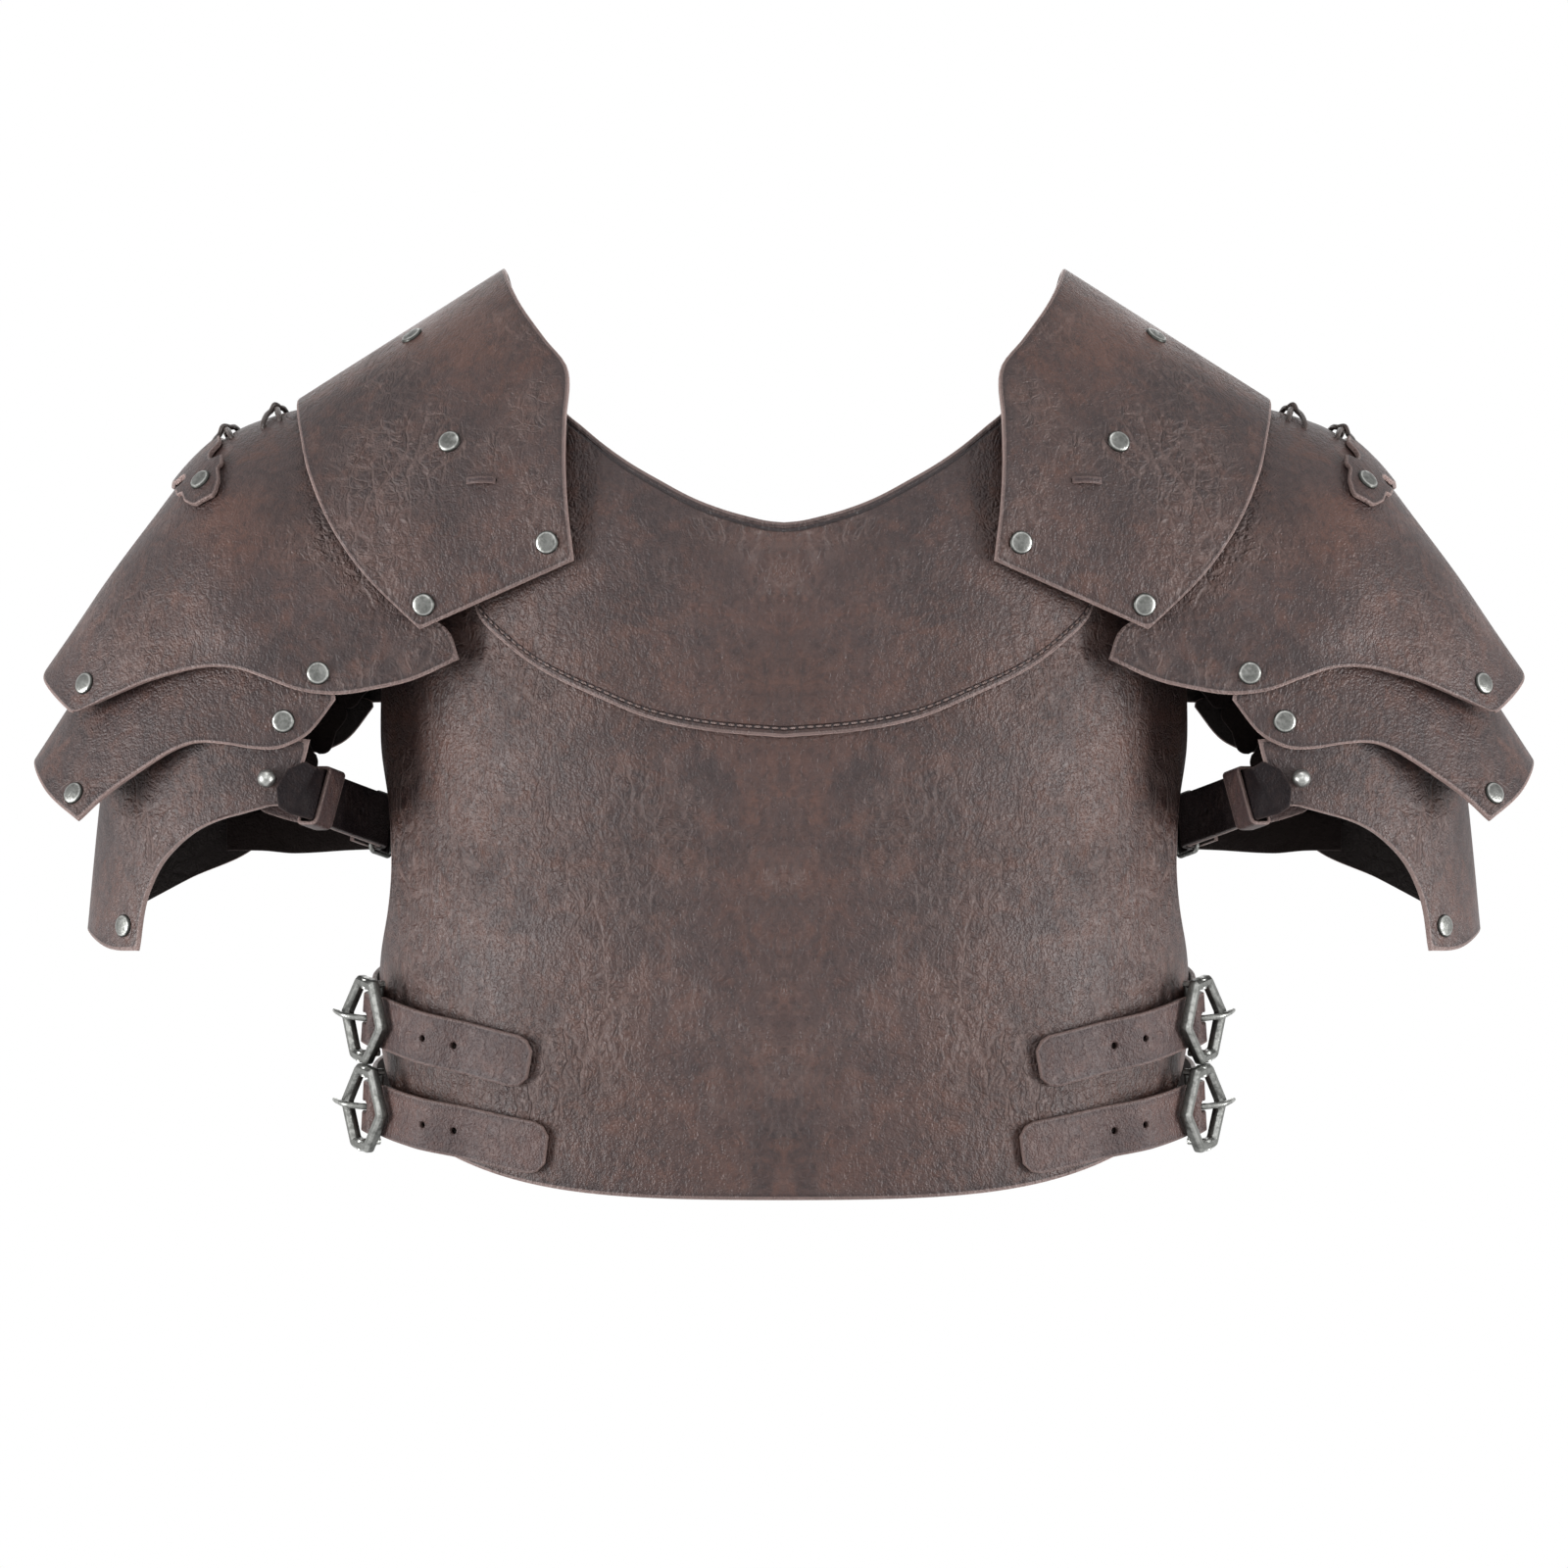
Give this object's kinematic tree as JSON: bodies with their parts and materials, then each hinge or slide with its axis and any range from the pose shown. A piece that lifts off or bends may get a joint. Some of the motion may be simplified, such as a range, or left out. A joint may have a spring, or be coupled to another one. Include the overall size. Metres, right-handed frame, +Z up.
{
  "type": "leather chest and shoulder armour",
  "caption": "Leather cuirass with front and back plates, a V-necked yoke, riveted shoulder caps with hanging lames, arm straps and buckled side straps.",
  "frame": {"origin": "middle of the shoulder line, where the yokes rest on the wearer", "axes": "+Z up, the wearer faces -Y, the wearer's left is +X"},
  "size_m": [0.7622, 0.2588, 0.4617],
  "materials": {
    "plate_leather": "burnished, mottled dark brown",
    "strap_leather": "burnished reddish brown",
    "dark_leather": "near-black flesh side",
    "cord": "waxed dark cord",
    "pewter": "aged grey, polished on the wear edges"
  },
  "bodies": {
    "chest": {"front_plate": "plate_leather", "front_yoke": "plate_leather", "back_plate": "plate_leather", "back_yoke": "plate_leather", "side_strap_upper_left": "strap_leather", "side_strap_lower_left": "strap_leather", "buckle_chape_upper_left": "strap_leather", "buckle_chape_lower_left": "strap_leather", "buckle_frame_upper_left": "pewter", "buckle_frame_lower_left": "pewter", "side_strap_upper_right": "strap_leather", "side_strap_lower_right": "strap_leather", "buckle_chape_upper_right": "strap_leather", "buckle_chape_lower_right": "strap_leather", "buckle_frame_upper_right": "pewter", "buckle_frame_lower_right": "pewter"},
    "cap_left": {"shoulder_cap_left": "plate_leather", "cap_thong_left": "strap_leather", "cap_hanger_front_left": "dark_leather", "cap_hanger_back_left": "dark_leather"},
    "lame_1_body_left": {"lame_1_left": "plate_leather", "ridge_lace_upper_left": "cord", "ridge_lace_lower_left": "cord", "ridge_tab_left": "strap_leather", "lame_1_hanger_front_left": "dark_leather", "lame_1_hanger_back_left": "dark_leather"},
    "lame_2_body_left": {"lame_2_left": "plate_leather", "lame_2_hanger_front_left": "dark_leather", "lame_2_hanger_back_left": "dark_leather"},
    "lame_3_body_left": {"lame_3_left": "plate_leather", "lame_3_hanger_front_left": "dark_leather", "lame_3_hanger_back_left": "dark_leather", "arm_strap_left": "dark_leather", "arm_strap_front_left": "strap_leather", "arm_ring_left": "pewter"},
    "keeper_left": {"arm_keeper_left": "strap_leather"},
    "tongue_upper_left": {"buckle_tongue_upper_left": "pewter"},
    "tongue_lower_left": {"buckle_tongue_lower_left": "pewter"},
    "cap_right": {"shoulder_cap_right": "plate_leather", "cap_thong_right": "strap_leather", "cap_hanger_front_right": "dark_leather", "cap_hanger_back_right": "dark_leather"},
    "lame_1_body_right": {"lame_1_right": "plate_leather", "ridge_lace_upper_right": "cord", "ridge_lace_lower_right": "cord", "ridge_tab_right": "strap_leather", "lame_1_hanger_front_right": "dark_leather", "lame_1_hanger_back_right": "dark_leather"},
    "lame_2_body_right": {"lame_2_right": "plate_leather", "lame_2_hanger_front_right": "dark_leather", "lame_2_hanger_back_right": "dark_leather"},
    "lame_3_body_right": {"lame_3_right": "plate_leather", "lame_3_hanger_front_right": "dark_leather", "lame_3_hanger_back_right": "dark_leather", "arm_strap_right": "dark_leather", "arm_strap_front_right": "strap_leather", "arm_ring_right": "pewter"},
    "keeper_right": {"arm_keeper_right": "strap_leather"},
    "tongue_upper_right": {"buckle_tongue_upper_right": "pewter"},
    "tongue_lower_right": {"buckle_tongue_lower_right": "pewter"}
  },
  "joints": [
    {"name": "cap_pivot_left", "type": "hinge", "parent": "chest", "child": "cap_left", "pos_m": [0.11417, 0, -0.1062], "axis": [0, -1, 0], "range_deg": [0, 12]},
    {"name": "lame_1_swing_left", "type": "hinge", "parent": "cap_left", "child": "lame_1_body_left", "pos_m": [0.20067, 0, -0.152], "axis": [0, -1, 0], "range_deg": [0, 3]},
    {"name": "lame_2_swing_left", "type": "hinge", "parent": "lame_1_body_left", "child": "lame_2_body_left", "pos_m": [0.23534, 0, -0.18016], "axis": [0, -1, 0], "range_deg": [0, 8]},
    {"name": "lame_3_swing_left", "type": "hinge", "parent": "lame_2_body_left", "child": "lame_3_body_left", "pos_m": [0.24824, 0, -0.20579], "axis": [0, -1, 0], "range_deg": [0, 15]},
    {"name": "keeper_slide_left", "type": "slide", "parent": "lame_3_body_left", "child": "keeper_left", "axis": [-0.396, 0.8983, -0.1903], "range_m": [0, 0.022]},
    {"name": "tongue_upper_hinge_left", "type": "hinge", "parent": "chest", "child": "tongue_upper_left", "pos_m": [0.20235, -0.04207, -0.3396], "axis": [0.0881, 0.1646, -0.9824], "range_deg": [0, 12]},
    {"name": "tongue_lower_hinge_left", "type": "hinge", "parent": "chest", "child": "tongue_lower_left", "pos_m": [0.20235, -0.04207, -0.3836], "axis": [0.0881, 0.1646, -0.9824], "range_deg": [0, 12]},
    {"name": "cap_pivot_right", "type": "hinge", "parent": "chest", "child": "cap_right", "pos_m": [-0.11417, 0, -0.1062], "axis": [0, 1, 0], "range_deg": [0, 12]},
    {"name": "lame_1_swing_right", "type": "hinge", "parent": "cap_right", "child": "lame_1_body_right", "pos_m": [-0.20067, 0, -0.152], "axis": [0, 1, 0], "range_deg": [0, 3]},
    {"name": "lame_2_swing_right", "type": "hinge", "parent": "lame_1_body_right", "child": "lame_2_body_right", "pos_m": [-0.23534, 0, -0.18016], "axis": [0, 1, 0], "range_deg": [0, 8]},
    {"name": "lame_3_swing_right", "type": "hinge", "parent": "lame_2_body_right", "child": "lame_3_body_right", "pos_m": [-0.24824, 0, -0.20579], "axis": [0, 1, 0], "range_deg": [0, 15]},
    {"name": "keeper_slide_right", "type": "slide", "parent": "lame_3_body_right", "child": "keeper_right", "axis": [0.396, 0.8983, -0.1903], "range_m": [0, 0.022]},
    {"name": "tongue_upper_hinge_right", "type": "hinge", "parent": "chest", "child": "tongue_upper_right", "pos_m": [-0.20235, -0.04207, -0.3396], "axis": [0.0881, -0.1646, 0.9824], "range_deg": [0, 12]},
    {"name": "tongue_lower_hinge_right", "type": "hinge", "parent": "chest", "child": "tongue_lower_right", "pos_m": [-0.20235, -0.04207, -0.3836], "axis": [0.0881, -0.1646, 0.9824], "range_deg": [0, 12]}
  ]
}
